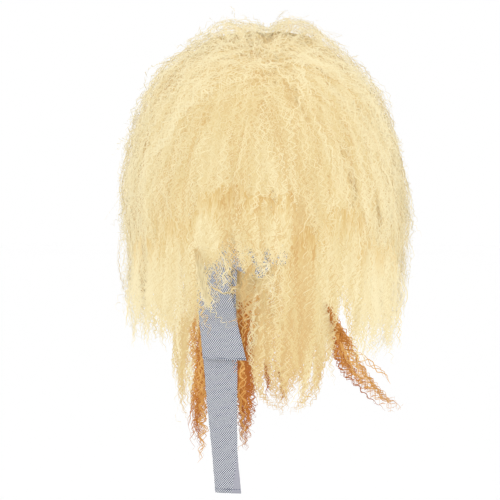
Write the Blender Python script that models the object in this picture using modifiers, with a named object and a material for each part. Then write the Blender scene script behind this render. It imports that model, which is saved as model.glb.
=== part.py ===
"""Rocker wig: crimped blonde hair on a stretch cap, with ginger under-locks and a blue bandana
tied at the back.

Metres, +Z up, the face towards -Y, the wearer's left towards +X. The origin is the inside of the
cap at the top of the head. Azimuths run from 0 at the back of the head through 90 on the wearer's
left to 180 at the face, and depths are measured down from the origin.
"""

import math
from collections import namedtuple

import bmesh
import bpy
import numpy as np
from mathutils import Vector

# The head that the cap is made for
HEAD_HALF_WIDTH = 0.078
HEAD_HALF_LENGTH = 0.098
CROWN_RISE = 0.100
CROWN_SQUARENESS = 2.3
NAPE_TAPER = 0.18

# The cap
CAP_WALL = 0.0015
CAP_DEPTH_FRONT = 0.085
CAP_DEPTH_SIDE = 0.118
CAP_DEPTH_BACK = 0.185
CAP_BACK_FULLNESS = 0.6
SEAT_GAP = 0.0005

# The bandana, folded to a band round the head
BAND_CLOTH = 0.0018
BAND_PLEAT = 0.0010
BAND_PLEATS = 3
BAND_HEIGHT_FRONT = 0.045
BAND_HEIGHT_BACK = 0.030
BAND_DEPTH_FRONT = 0.075
BAND_DEPTH_BACK = 0.152
STEP_OVER_BAND = 0.005

# Its knot, which leans to the wearer's right
KNOT_OFFSET = 0.0155
KNOT_DEPTH = 0.163
KNOT_HALF_LENGTH = 0.025
KNOT_HALF_HEIGHT = 0.0135
KNOT_HALF_THICKNESS = 0.011
KNOT_TILT = math.radians(30)
KNOT_FOLDS = 5
KNOT_FOLD_DEPTH = 0.0012

# Its two hanging ends
TAIL_CLOTH = 0.0014
TAIL_CLEARANCE = 0.0022
TAIL_FOLD = 0.0012
UPPER_TAIL_END = 0.259
LOWER_TAIL_END = 0.389
TAIL_WIDTH = 0.042

# The hair's outer form
HAIR_RISE = 0.074
LONGEST_LOCK = 0.327
HAIR_HALF_WIDTH = 0.143
HAIR_BACK_REACH = 0.158
HAIR_FRONT_REACH = 0.130
CROWN_LOCKS = 30
CROWN_LOCK_RIDGE = 0.009
CROWN_TAPER = 0.045
CROWN_VALLEY_SHORTER = 0.12
CROWN_UNEVEN = 0.04
HAIR_SWAY = math.radians(2.2)
SWAY_LENGTH = 0.120

# The layer under the bandana
NAPE_HANG_SIDE = 0.094
NAPE_HANG_BACK = 0.117
NAPE_NARROWS = 0.09
NAPE_FLARE = 0.06
NAPE_LOCK_RIDGE = 0.004
NAPE_ROOT_GAP = 0.004
NAPE_SPREAD_DEPTH = 0.060
NAPE_TAPER_LENGTH = 0.050
NAPE_VALLEY_SHORTER = 0.14
TAIL_ROOM = 0.013
HANG_SIDE = NAPE_HANG_SIDE + TAIL_ROOM
HANG_BACK = NAPE_HANG_BACK + NAPE_LOCK_RIDGE + TAIL_ROOM
HANG_FRONT = HEAD_HALF_LENGTH + TAIL_ROOM

CROWN_INNER_LIFT = CAP_WALL + 3 * SEAT_GAP

# How the layers are divided: rows at shares of the longest lock, how far below the band's top the
# outer layer swings out, in half heights of the knot, and the thinnest slice of the knot
CROWN_LAST_ROW = 0.75
NAPE_ROWS = (0.62, 0.70, 0.78, 0.86, 0.93)
PASS_OVER_KNOT = 1.4
LEAST_KNOT_SLICE = 0.04
COLUMNS_PER_LOCK = 4
INNER_STEPS = 6
CAP_COLUMNS = 48
CAP_ROWS = 8
BAND_COLUMNS = 48
BAND_ROWS = 6
TAIL_COLUMNS = 6
TAIL_ROWS = 20

# The crown hair's outline: drop as a share of the height from the top of the hair to its longest
# lock, left and right as shares of the half width, back and front as shares of those reaches
Section = namedtuple("Section", "drop left right back front")
HAIR_SECTIONS = (
    Section(0.00, 0.00, 0.00, 0.00, 0.00),
    Section(0.02, 0.34, 0.34, 0.30, 0.32),
    Section(0.06, 0.52, 0.50, 0.50, 0.54),
    Section(0.12, 0.73, 0.66, 0.70, 0.74),
    Section(0.20, 0.84, 0.82, 0.86, 0.88),
    Section(0.30, 0.92, 0.90, 0.95, 0.97),
    Section(0.40, 0.98, 0.97, 1.00, 1.00),
    Section(0.50, 0.97, 1.00, 1.00, 0.98),
    Section(0.60, 0.94, 0.97, 0.97, 0.96),
    Section(0.70, 0.94, 0.94, 0.95, 0.94),
    Section(0.80, 0.91, 0.88, 0.92, 0.92),
    Section(0.90, 0.84, 0.82, 0.88, 0.90),
    Section(1.00, 0.78, 0.78, 0.86, 0.88),
)

# How deep the locks of a layer reach, as a share of the longest lock, by azimuth in degrees
Tip = namedtuple("Tip", "azimuth depth")
CROWN_TIPS = (
    Tip(-180, 0.155),
    Tip(-150, 0.17),
    Tip(-138, 0.46),
    Tip(-126, 0.72),
    Tip(-100, 0.82),
    Tip(-70, 0.86),
    Tip(-54, 0.80),
    Tip(-42, 0.70),
    Tip(-34, 0.60),
    Tip(-28, 0.78),
    Tip(-22, 0.96),
    Tip(-13, 0.90),
    Tip(-7, 0.62),
    Tip(0, 0.50),
    Tip(12, 0.455),
    Tip(18, 0.56),
    Tip(25, 0.68),
    Tip(34, 0.74),
    Tip(60, 0.80),
    Tip(100, 0.79),
    Tip(126, 0.70),
    Tip(138, 0.44),
    Tip(150, 0.17),
    Tip(180, 0.155),
)

# Groups of locks under the bandana: where each begins and ends, in degrees, how many locks it has,
# the deepest tip and the tips at its two edges, as shares of the longest lock, how far its tips
# swing out to the side and back, as shares of the hair's half width, from what share of the
# longest lock they swing, and the hair's colour
Group = namedtuple("Group", "name start end locks deepest at_start at_end side back swing hair")
NAPE_GROUPS = (
    Group("nape_hair_left", 49, 71, 2, 1.02, 1.02, 0.86, 0.02, -0.02, 0.70, "blonde"),
    Group("ginger_locks_left", 36, 48.5, 1, 1.12, 1.08, 1.10, 0.02, -0.02, 0.80, "ginger"),
    Group("nape_hair_middle", 18.5, 35.5, 2, 0.97, 0.95, 0.98, 0.00, 0.00, 0.70, "blonde"),
    Group("ginger_locks_centre", 8.5, 18, 1, 1.08, 1.02, 1.08, 0.00, 0.00, 0.70, "ginger"),
    Group("nape_hair_right", -41, 8, 5, 0.97, 0.93, 0.97, 0.00, 0.00, 0.70, "blonde"),
    Group("ginger_lock_right", -53, -42, 1, 0.98, 0.96, 0.96, -0.55, 0.04, 0.68, "ginger"),
)

# The hanging ends: depth as a share of the way from the knot to the end, the two edges' places
# across the back as shares of the tail width, and how far a lengthwise fold stands out
Cut = namedtuple("Cut", "down right left fold")
UPPER_TAIL_CUTS = (
    Cut(0.00, 0.74, 1.12, 0.3),
    Cut(0.10, 0.79, 1.48, 0.5),
    Cut(0.25, 0.77, 1.60, 0.8),
    Cut(0.50, 0.66, 1.54, 0.6),
    Cut(0.75, 0.53, 1.46, 0.4),
    Cut(1.00, 0.41, 1.41, 0.2),
)
LOWER_TAIL_CUTS = (
    Cut(0.00, 0.62, 1.00, 0.3),
    Cut(0.15, 0.66, 1.34, 0.5),
    Cut(0.42, 0.62, 1.40, 0.6),
    Cut(0.62, 0.63, 1.31, 0.8),
    Cut(0.82, 0.62, 1.20, 0.9),
    Cut(1.00, 0.53, 1.12, 1.0),
)


def new_scene():
    """Removes whatever the file holds and makes the wig's collection."""
    for old in list(bpy.data.objects):
        bpy.data.objects.remove(old)
    collection = bpy.data.collections.new("rocker_wig")
    bpy.context.scene.collection.children.link(collection)
    return collection


def finish(name, colour, roughness):
    """A plain Principled material."""
    material = bpy.data.materials.new(name)
    material.use_nodes = True
    shader = material.node_tree.nodes["Principled BSDF"]
    shader.inputs["Base Color"].default_value = (*colour, 1.0)
    shader.inputs["Roughness"].default_value = roughness
    shader.inputs["Metallic"].default_value = 0.0
    return material


def table(rows, where, name, share):
    """One column of a table, read at a share of the way down its first column."""
    return float(np.interp(share, [getattr(r, where) for r in rows], [getattr(r, name) for r in rows]))


def smooth(share):
    """A share from 0 to 1 with soft ends."""
    share = min(max(share, 0.0), 1.0)
    return share * share * (3.0 - 2.0 * share)


def ring_point(azimuth, height, side, back, front):
    """A point on a level ring round the head that is longer at one end."""
    reach = back if math.cos(azimuth) > 0 else front
    return Vector((side * math.sin(azimuth), reach * math.cos(azimuth), height))


def head_share(depth, lift):
    """How wide the head is at a depth, beside its widest, once it is grown by lift all over."""
    rise = CROWN_RISE + lift
    below_top = min(max(depth + lift, 0.0), rise)
    dome = (1.0 - (1.0 - below_top / rise) ** CROWN_SQUARENESS) ** (1.0 / CROWN_SQUARENESS)
    below_widest = max(depth - CROWN_RISE, 0.0) / (CAP_DEPTH_BACK - CROWN_RISE)
    return dome * (1.0 - NAPE_TAPER * min(below_widest, 1.3) ** 2)


def head_point(azimuth, depth, lift=0.0):
    """A point at a depth on the head grown by lift."""
    share = head_share(depth, lift)
    long = (HEAD_HALF_LENGTH + lift) * share
    return ring_point(azimuth, -depth, (HEAD_HALF_WIDTH + lift) * share, long, long)


def cap_edge(azimuth):
    """How deep the cap's edge lies: high over the face and ears, low at the nape."""
    toward_back = math.cos(azimuth)
    if toward_back > 0:
        return CAP_DEPTH_SIDE + (CAP_DEPTH_BACK - CAP_DEPTH_SIDE) * toward_back**CAP_BACK_FULLNESS
    return CAP_DEPTH_SIDE + (CAP_DEPTH_FRONT - CAP_DEPTH_SIDE) * toward_back**2


def band_middle(azimuth):
    """The depth of the band's middle line, which slopes from the forehead to the nape."""
    return BAND_DEPTH_FRONT + (BAND_DEPTH_BACK - BAND_DEPTH_FRONT) * (1.0 + math.cos(azimuth)) / 2.0


def band_half_height(azimuth):
    to_back = (1.0 + math.cos(azimuth)) / 2.0
    return (BAND_HEIGHT_FRONT + (BAND_HEIGHT_BACK - BAND_HEIGHT_FRONT) * to_back) / 2.0


def band_top(azimuth):
    return band_middle(azimuth) - band_half_height(azimuth)


def band_bottom(azimuth):
    return band_middle(azimuth) + band_half_height(azimuth)


def crown_outer(azimuth, depth):
    """The outline of the whole head of hair."""
    drop = (depth + HAIR_RISE) / (LONGEST_LOCK + HAIR_RISE)
    side = "left" if math.sin(azimuth) > 0 else "right"
    return ring_point(
        azimuth,
        -depth,
        HAIR_HALF_WIDTH * table(HAIR_SECTIONS, "drop", side, drop),
        HAIR_BACK_REACH * table(HAIR_SECTIONS, "drop", "back", drop),
        HAIR_FRONT_REACH * table(HAIR_SECTIONS, "drop", "front", drop),
    )


def crown_inner(azimuth, depth):
    """The inside of the outer layer: on the cap, over the band, then clear of the nape's hair."""
    if depth <= band_top(azimuth) - 0.75 * STEP_OVER_BAND:
        return head_point(azimuth, depth, CROWN_INNER_LIFT)
    over_band = CAP_WALL + BAND_CLOTH + BAND_PLEAT + 3 * SEAT_GAP
    over = head_point(azimuth, depth, over_band)
    hanging = ring_point(azimuth, -depth, HANG_SIDE, HANG_BACK, HANG_FRONT)
    return over.lerp(hanging, smooth((depth - band_top(azimuth)) / (PASS_OVER_KNOT * KNOT_HALF_HEIGHT)))


def nape_root(azimuth):
    return band_bottom(azimuth) + NAPE_ROOT_GAP


def nape_axes(azimuth, depth, lift=0.0):
    """Half width and back reach of the nape hair's outside at a depth, grown by lift."""
    on_cap = CAP_WALL + SEAT_GAP
    share = head_share(depth, on_cap)
    spread = min(max((depth - nape_root(azimuth)) / NAPE_SPREAD_DEPTH, 0.0), 1.0) ** 1.5
    narrow = 1.0 - NAPE_NARROWS * max(depth - NAPE_HANG_BACK, 0.0) / LONGEST_LOCK
    side = (HEAD_HALF_WIDTH + on_cap) * share
    back = (HEAD_HALF_LENGTH + on_cap) * share
    side += (NAPE_HANG_SIDE * narrow - side) * spread
    back += (NAPE_HANG_BACK * narrow - back) * spread
    return side + lift, back + lift


def nape_outer(azimuth, depth):
    side, back = nape_axes(azimuth, depth)
    return ring_point(azimuth, -depth, side, back, back)


def nape_inner(azimuth, depth):
    """The inside of the nape's hair: on the cap to its edge, then flaring clear of the neck."""
    edge = cap_edge(azimuth)
    on_cap = head_point(azimuth, min(depth, edge), CAP_WALL + SEAT_GAP)
    flare = 1.0 + NAPE_FLARE * max(depth - edge, 0.0) / HEAD_HALF_LENGTH
    return Vector((on_cap.x * flare, on_cap.y * flare, -depth))


def sheet(columns, rows, place, around):
    """A sheet made from Blender's grid, with each vertex where place(column, row) puts it."""
    shape = bmesh.new()
    bmesh.ops.create_grid(shape, x_segments=columns, y_segments=rows, size=0.5)
    for vertex in shape.verts:
        column = round((vertex.co.x + 0.5) * columns)
        row = round((vertex.co.y + 0.5) * rows)
        vertex.co = place(column % columns if around else column, row)
    bmesh.ops.remove_doubles(shape, verts=shape.verts, dist=2e-5)
    bmesh.ops.dissolve_degenerate(shape, edges=shape.edges, dist=2e-5)
    bmesh.ops.triangulate(shape, faces=shape.faces)
    bmesh.ops.recalc_face_normals(shape, faces=shape.faces)
    return shape


def face_outward(shape):
    """Turns an open sheet's faces away from the head, because its wall grows that way."""
    outward = 0.0
    for face in shape.faces:
        away = face.calc_center_median()
        away.z = 0.0
        outward += face.calc_area() * face.normal.dot(away)
    if outward < 0:
        bmesh.ops.reverse_faces(shape, faces=shape.faces)
    return shape


def add_object(collection, name, shape, material):
    """Turns a bmesh into a named object with soft shading and its material."""
    mesh = bpy.data.meshes.new(name)
    shape.to_mesh(mesh)
    shape.free()
    mesh.shade_smooth()
    mesh.set_sharp_from_angle(angle=math.radians(50))
    mesh.materials.append(material)
    made = bpy.data.objects.new(name, mesh)
    collection.objects.link(made)
    return made


def thicken(made, thickness):
    """Gives an open sheet its wall, on its outer side."""
    solidify = made.modifiers.new("wall", "SOLIDIFY")
    solidify.thickness = thickness
    solidify.offset = 1.0
    return made


def lock_layer(columns, lengths, outer, inner, depths, around):
    """A closed layer of hair. lengths(column) gives a column's azimuth, its tip's depth, how far
    it stands out as part of a lock, how full the layer is there (0 at a free edge), the length it
    tapers over, and where its tip swings to and from what depth. The profile runs down the outside
    to the tip and up the inside."""
    outer_depths, inner_depths = depths
    outer_count = len(outer_depths(0.0))
    rows = outer_count + len(inner_depths(0.0))

    def place(column, row):
        azimuth, tip, ridge, fullness, taper, splay, swing = lengths(column)
        outside = row < outer_count
        depth = outer_depths(azimuth)[row] if outside else tip
        if row > outer_count:
            depth = inner_depths(azimuth)[rows - row]
        depth = min(depth, tip)
        swayed, root = azimuth, outer_depths(azimuth)[0]
        if around:
            fade = smooth(depth / LONGEST_LOCK * 3.0)
            swayed += fade * HAIR_SWAY * math.sin(2 * math.pi * depth / SWAY_LENGTH + 3 * azimuth)
        near, far = inner(azimuth, depth), outer(swayed, depth)
        level = Vector((far.x, far.y, 0.0))
        far = far + level.normalized() * ridge * smooth(4.0 * (depth - root) / LONGEST_LOCK)
        middle = near.lerp(far, 0.5)
        left = math.sqrt(min(max((tip - depth) / taper, 0.0), 1.0)) * fullness
        point = middle.lerp(far if outside else near, left)
        if row > outer_count and depth < tip and left > 0.999:
            point = near
        return point + splay * max((depth - swing) / (LONGEST_LOCK - swing), 0.0) ** 2

    return sheet(columns, rows, place, around)


def lock_shape(column):
    """How far a column stands out in its lock, from 0 in the valley to 1 on the ridge."""
    return math.sin(math.pi * (column % COLUMNS_PER_LOCK) / COLUMNS_PER_LOCK)


def build_cap(collection, material):
    def place(column, row):
        azimuth = 2 * math.pi * column / CAP_COLUMNS
        down = 1.0 - math.cos(math.pi / 2 * row / CAP_ROWS)
        return head_point(azimuth, cap_edge(azimuth) * down)

    shape = face_outward(sheet(CAP_COLUMNS, CAP_ROWS, place, True))
    return thicken(add_object(collection, "wig_cap", shape, material), CAP_WALL)


def build_crown_hair(collection, material):
    columns = CROWN_LOCKS * COLUMNS_PER_LOCK
    height = LONGEST_LOCK + HAIR_RISE

    def lengths(column):
        degrees = 360.0 * column / columns
        azimuth = math.radians(degrees)
        degrees = degrees - 360.0 if degrees > 180.0 else degrees
        shape = lock_shape(column)
        uneven = CROWN_UNEVEN * math.sin(2.4 * (column // COLUMNS_PER_LOCK))
        tip = LONGEST_LOCK * table(CROWN_TIPS, "azimuth", "depth", degrees)
        tip *= (1.0 - CROWN_VALLEY_SHORTER * (1.0 - shape)) * (1.0 + uneven * shape)
        ridge = CROWN_LOCK_RIDGE * (shape - 0.5)
        return azimuth, tip, ridge, 1.0, CROWN_TAPER, Vector(), 0.0

    def outer_depths(_azimuth):
        return [height * section.drop - HAIR_RISE for section in HAIR_SECTIONS[:-1]]

    def inner_depths(azimuth):
        top, bottom = band_top(azimuth), band_bottom(azimuth)
        rise = CROWN_RISE + CROWN_INNER_LIFT
        turn = math.acos(1.0 - (top - STEP_OVER_BAND + CROWN_INNER_LIFT) / rise)
        angles = [turn * step / INNER_STEPS for step in range(INNER_STEPS + 1)]
        on_cap = [rise * (1.0 - math.cos(angle)) - CROWN_INNER_LIFT for angle in angles]
        over = [top - STEP_OVER_BAND / 2, bottom, bottom + KNOT_HALF_HEIGHT, CROWN_LAST_ROW * LONGEST_LOCK]
        return on_cap + over

    depths = outer_depths, inner_depths
    shape = lock_layer(columns, lengths, crown_outer, crown_inner, depths, True)
    return add_object(collection, "crown_hair", shape, material)


def build_nape_group(collection, group, material):
    columns = group.locks * COLUMNS_PER_LOCK

    def lengths(column):
        across = column / columns
        azimuth = math.radians(group.start + (group.end - group.start) * across)
        shape = lock_shape(column)
        edges = group.at_start + (group.at_end - group.at_start) * across
        tip = LONGEST_LOCK * (edges + (group.deepest - edges) * math.sin(math.pi * across))
        tip *= 1.0 - NAPE_VALLEY_SHORTER * (1.0 - shape)
        ridge = NAPE_LOCK_RIDGE * shape
        splay = Vector((group.side, group.back, 0.0)) * HAIR_HALF_WIDTH
        fullness = 0.0 if column in (0, columns) else 1.0
        return azimuth, tip, ridge, fullness, NAPE_TAPER_LENGTH, splay, group.swing * LONGEST_LOCK

    def depths(azimuth):
        root, edge = nape_root(azimuth), cap_edge(azimuth)
        hanging = (LONGEST_LOCK * share for share in NAPE_ROWS)
        return [root, root + 0.5 * (edge - root), edge, *hanging]

    shape = lock_layer(columns, lengths, nape_outer, nape_inner, (depths, depths), False)
    return add_object(collection, group.name, shape, material)


def build_band(collection, material):
    def place(column, row):
        azimuth = 2 * math.pi * column / BAND_COLUMNS
        across = row / BAND_ROWS
        depth = band_top(azimuth) + 2 * band_half_height(azimuth) * across
        pleat = BAND_PLEAT * 0.5 * (1.0 - math.cos(2 * math.pi * BAND_PLEATS * across))
        return head_point(azimuth, depth, CAP_WALL + SEAT_GAP + pleat)

    shape = face_outward(sheet(BAND_COLUMNS, BAND_ROWS, place, True))
    return thicken(add_object(collection, "bandana_band", shape, material), BAND_CLOTH)


def knot_centre():
    """The knot lies on the band and leans on the nape's hair."""
    azimuth = math.asin(KNOT_OFFSET / HEAD_HALF_WIDTH)
    behind = head_point(azimuth, KNOT_DEPTH, CAP_WALL + BAND_CLOTH + BAND_PLEAT + 3 * SEAT_GAP)
    return Vector((KNOT_OFFSET, behind.y + KNOT_HALF_THICKNESS, -KNOT_DEPTH))


def build_knot(collection, material):
    shape = bmesh.new()
    bmesh.ops.create_uvsphere(shape, u_segments=20, v_segments=10, radius=1.0)
    centre = knot_centre()
    lean, rise = math.cos(KNOT_TILT), math.sin(KNOT_TILT)
    for vertex in shape.verts:
        x, y, z = vertex.co
        turn = math.atan2(z, x)
        fold = 1.0 - KNOT_FOLD_DEPTH / KNOT_HALF_HEIGHT * (1.0 - math.cos(KNOT_FOLDS * turn)) / 2.0
        along, up = x * KNOT_HALF_LENGTH * fold, z * KNOT_HALF_HEIGHT * fold
        vertex.co = centre + Vector(
            (along * lean - up * rise, y * KNOT_HALF_THICKNESS * fold, along * rise + up * lean)
        )
    return add_object(collection, "bandana_knot", shape, material)


def below_knot(across, behind):
    """The depth of the knot's underside at a place across the back, in the slice of the knot that
    lies that far behind its middle."""
    slice_size = math.sqrt(max(1.0 - (behind / KNOT_HALF_THICKNESS) ** 2, LEAST_KNOT_SLICE))
    long, high = KNOT_HALF_LENGTH * slice_size, KNOT_HALF_HEIGHT * slice_size
    lean, rise = math.cos(KNOT_TILT), math.sin(KNOT_TILT)
    widest = math.hypot(long * lean, high * rise)
    away = min(max((across - KNOT_OFFSET) / widest, -0.98), 0.98)
    slope = (long**2 - high**2) * lean * rise / widest
    return KNOT_DEPTH - slope * away + long * high / widest * math.sqrt(1.0 - away**2)


def build_tail(collection, name, cuts, end, lift, material):
    """A hanging end: it comes out under the knot and lies on the nape's hair."""
    knot_y = knot_centre().y

    def resting(across, depth):
        azimuth = math.asin(min(across / NAPE_HANG_SIDE, 0.95))
        side, back = nape_axes(azimuth, depth, NAPE_LOCK_RIDGE + lift)
        return max(back, knot_y + lift) * math.sqrt(max(1.0 - (across / side) ** 2, 0.0))

    def place(column, row):
        down = row / TAIL_ROWS
        right = TAIL_WIDTH * table(cuts, "down", "right", down)
        left = TAIL_WIDTH * table(cuts, "down", "left", down)
        share = column / TAIL_COLUMNS
        across = right + (left - right) * share
        top = below_knot(across, resting(across, KNOT_DEPTH) - knot_y) + SEAT_GAP
        depth = top + (end - top) * down
        fold = TAIL_FOLD * table(cuts, "down", "fold", down) * math.sin(2 * math.pi * share) ** 2
        return Vector((across, resting(across, depth) + fold, -depth))

    shape = face_outward(sheet(TAIL_COLUMNS, TAIL_ROWS, place, False))
    return thicken(add_object(collection, name, shape, material), TAIL_CLOTH)


def main():
    collection = new_scene()
    hair = {
        "blonde": finish("blonde_fibre", (0.86, 0.70, 0.39), 0.55),
        "ginger": finish("ginger_fibre", (0.62, 0.27, 0.07), 0.55),
    }
    cloth = finish("blue_bandana_cloth", (0.40, 0.45, 0.53), 0.85)
    cap = finish("stretch_cap_net", (0.72, 0.60, 0.42), 0.80)
    build_cap(collection, cap)
    build_crown_hair(collection, hair["blonde"])
    for group in NAPE_GROUPS:
        build_nape_group(collection, group, hair[group.hair])
    build_band(collection, cloth)
    build_knot(collection, cloth)
    lower_lift = TAIL_CLEARANCE
    upper_lift = lower_lift + TAIL_CLOTH + TAIL_FOLD + TAIL_CLEARANCE
    build_tail(
        collection, "bandana_tail_lower", LOWER_TAIL_CUTS, LOWER_TAIL_END, lower_lift, cloth
    )
    build_tail(
        collection, "bandana_tail_upper", UPPER_TAIL_CUTS, UPPER_TAIL_END, upper_lift, cloth
    )


main()
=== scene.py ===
"""The looks of a crimped rocker wig: its fibres, bandana cloth and cap net, fitted to the frame.

Metres, +Z up, the face towards -Y. Azimuths run from 0 at the back of the head to 90 at +X. A row
is a place down the hair, from the top of the head to the tips.
"""

import math
from collections import namedtuple

import bmesh
import bpy
import numpy as np
from mathutils import Matrix, Vector
from mathutils.bvhtree import BVHTree


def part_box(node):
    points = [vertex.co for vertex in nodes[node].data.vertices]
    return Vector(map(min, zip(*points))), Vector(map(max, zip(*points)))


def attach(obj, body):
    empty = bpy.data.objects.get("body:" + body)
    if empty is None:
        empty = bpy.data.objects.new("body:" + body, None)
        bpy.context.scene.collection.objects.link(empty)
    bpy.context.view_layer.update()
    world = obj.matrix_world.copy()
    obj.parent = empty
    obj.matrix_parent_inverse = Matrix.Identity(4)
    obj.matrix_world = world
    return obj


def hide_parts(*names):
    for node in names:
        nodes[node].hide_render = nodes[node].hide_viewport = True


bl_info = {
    "name": "Crimped Wig Dresser",
    "version": (1, 0, 0),
    "blender": (4, 5, 0),
    "location": "3D View > Sidebar > Wig",
    "description": "Dresses the frame of a crimped wig with fibres, bandana cloth and cap net",
    "category": "Object",
}

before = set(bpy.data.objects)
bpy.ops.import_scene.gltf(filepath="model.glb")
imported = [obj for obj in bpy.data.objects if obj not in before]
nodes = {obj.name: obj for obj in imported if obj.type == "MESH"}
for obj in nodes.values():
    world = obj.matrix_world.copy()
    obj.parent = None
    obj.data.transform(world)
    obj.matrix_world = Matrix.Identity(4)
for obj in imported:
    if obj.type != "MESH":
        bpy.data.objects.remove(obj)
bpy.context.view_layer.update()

BODY = "root"
CARD = "card"
BAKE_MAP = "OFBake"
WEAVE = "weave"
MILLIMETRE = 0.001

# How finely the cloth's solids are scanned for their edges, the cloth's thickness at the ends, the
# band and the knot, its creases, and how its hems are sewn
SCAN_STEP = 0.0005
TAIL_CLOTH = 0.0011
BAND_CLOTH = 0.0015
KNOT_CLOTH = 0.0012
CREASES = 7
CREASE_DEPTH = 0.0007
HEM_WIDTH = 0.005
HEM_DENT = 0.0004
HEM_SOFTNESS = 0.0008
STITCH_PITCH = 0.0026
STITCH_LENGTH = 0.0017
STITCH_THREAD = 0.0006

# The hair's rows: over the dome they fan out from a point inside the head, and below it they are
# level, a step apart
DOME_DEPTH = 0.060
DOME_ROWS = 18
ROW_STEP = 0.006
CROWN_COLUMNS = 180
GROUP_COLUMNS = 24
LEAST_ROWS = 8
TIP_BLEND = 4
NAPE_RISE_ROWS = 2.0

# How far away the rays that read the solids start
REACH = 0.4

# Points along a guide, and along each wave of a crimped fibre
GUIDE_POINTS = 44
POINTS_PER_WAVE = 4

# How a fibre's waves drift out of step and swell, each over a length, and how soon they are full
WAVE_DRIFT = 1.1
WAVE_DRIFT_LENGTH = 0.017
WAVE_SWELL = 0.4
WAVE_SWELL_LENGTH = 0.023
WAVE_FULL_AFTER = 0.03

# The knot's tilt, how far along it the wrap ends in a groove, and the depth of groove and folds
KNOT_TILT = math.radians(30)
KNOT_WRAP = 0.42
KNOT_GROOVE = 0.0022
KNOT_LOBE_FOLD = 0.0012
KNOT_WRAP_FOLD = 0.0006

# Where the lower end's edges turn back to show the reverse
TURN_DEPTH = 0.357
TURN_RIGHT = 0.0275
TURN_LEFT = 0.0530

# The camera, from the photograph at a millimetre a pixel
PHOTO_WIDTH = 0.500
PHOTO_CENTRE = Vector((0.014, 0.0, -0.155))
CAMERA_DISTANCE = 3.6
CAMERA_ELEVATION = math.radians(1.5)
CAMERA_FAR = 100.0
SENSOR_WIDTH = 36.0

# The floor's size and height, and each light's name, place, size in metres and power in watts
FLOOR_SIZE = 60
FLOOR_HEIGHT = -0.9
LIGHTS = (
    ("front", (0.10, 3.2, 0.25), 0.7, 5.0),
    ("key", (-1.8, 2.4, 1.4), 1.6, 4.0),
    ("top", (0.2, 0.6, 2.6), 1.6, 4.0),
    ("face", (0.0, -3.0, 0.8), 1.6, 4.0),
)

# Points across and down each cloth, and each kind of hair's own start for its random draws
BAND_GRID = (144, 20)
KNOT_GRID = (49, 33)
TAIL_GRID = (25, 64)
CROWN_SEED = 7
NAPE_SEED = 21
CURL_SEED = 33
TAIL_SEEDS = {"bandana_tail_upper": 3, "bandana_tail_lower": 8}

# The form of a hair solid: its outside and inside in rows, each column's last row for loose locks
# and for the hair beneath them, and whether it goes all the way round
Form = namedtuple("Form", "outer inner last body around")

# A fibre: its two edges, the way that it faces, its tone and the azimuth where it lies
Fibre = namedtuple("Fibre", "left right facing tone turn")

# How the crown's hair lies: away from a whorl at the back of the head, then down
WHORL = np.array([0.035, 0.860, 0.509])
WHORL_REACH = 0.150
WHORL_SHARE = 0.40
WHORL_SPREAD = 0.30
WHORL_STRAY = 0.20
DOME_RADIUS = 0.145
LIE_STEP = 0.005
LIE_STEPS = 110
LEAST_STEPS = 5
CROWN_ROOT_DEPTH = 0.012
NAPE_ROOT_DEPTH = 0.002

# The hair beneath the loose locks: how many rows above the tips it ends, how deep it lies, its
# ripples, how fast it thins towards its rim, its lining, and how finely it is made
MASS_SHORT_ROWS = 6.0
MASS_SINK = 0.010
MASS_RIPPLE = 0.0022
MASS_TAPER = 3.5
MASS_LINING = 0.0015
MASS_ROWS = 46

# The tufts at the top of the head and the notch between them: their height, how far down they
# reach, and each one's rise, place across and half width
TUFT_HEIGHT = 0.074
TUFT_REACH = 0.030
TUFTS = ((0.006, 0.040, 0.018), (0.007, -0.033, 0.026), (-0.008, -0.003, 0.009))

# Painted light that makes the hair paler at the top and the sides, painted shade that makes it deeper round
# the whorl and at the nape, and its uneven tone in patches
TOP_PAINTED_LIGHT = 0.55
SIDES_PAINTED_LIGHT = 0.30
WHORL_PAINTED_SHADE = 0.25
NAPE_PAINTED_SHADE = 0.38
PATCHES = 0.09

# Half the width of the stripe of the colour card that a fibre takes, and the card's used part
CARD_STRIPE = 0.006
CARD_MARGIN = 0.02
CARD_USED = 0.96

# A batch of locks: how many, and how many fibres each, the lowest root as a share of the dome's
# tilt, their ends as shares of the way down to the tips, their longest and shortest length, how
# far out they lie from the solid's outside in millimetres, a lock's half width in millimetres,
# a fibre's width as a share of the setting, how far the locks stray to the sides in millimetres,
# how much they go their own way at the top, how large their waves are, and their range of tones
Batch = namedtuple(
    "Batch",
    "locks fibres root end_low end_high short long lift_low lift_high spread width stray loose curl"
    " dark light",
)

# The deeper a batch lies, the darker its range of tones, and the outer batches and curls are paler: painted
# shade and light by depth, as the fibres throw no shade; within a range the tone differs at random
CROWN_BATCHES = (
    Batch(335, 5, 1.10, 0.90, 1.06, 0.12, 0.60, -8.0, -3.0, 5.0, 0.80, 6.0, 0.15, 1.0, 0.05, 0.60),
    Batch(520, 4, 1.15, 0.50, 1.06, 0.05, 0.20, -4.5, -1.0, 4.0, 0.60, 7.0, 0.40, 1.0, 0.30, 0.90),
    Batch(150, 4, 1.20, 0.85, 1.03, 0.06, 0.40, -16.0, -8.0, 3.4, 0.90, 5.0, 0.20, 1.0, 0.00, 0.30),
    Batch(700, 1, 1.05, 0.30, 1.07, 0.04, 0.14, -2.0, 2.0, 2.0, 0.50, 8.0, 0.60, 1.2, 0.50, 1.00),
)

# Single curls that lie on top of the crown's hair
CROWN_CURLS = Batch(170, 2, 1.15, 0.55, 1.05, 0.09, 0.24, 0.0, 3.0, 0.9, 0.90, 8.0, 0.30, 1.4, 0.70, 1.00)

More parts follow.
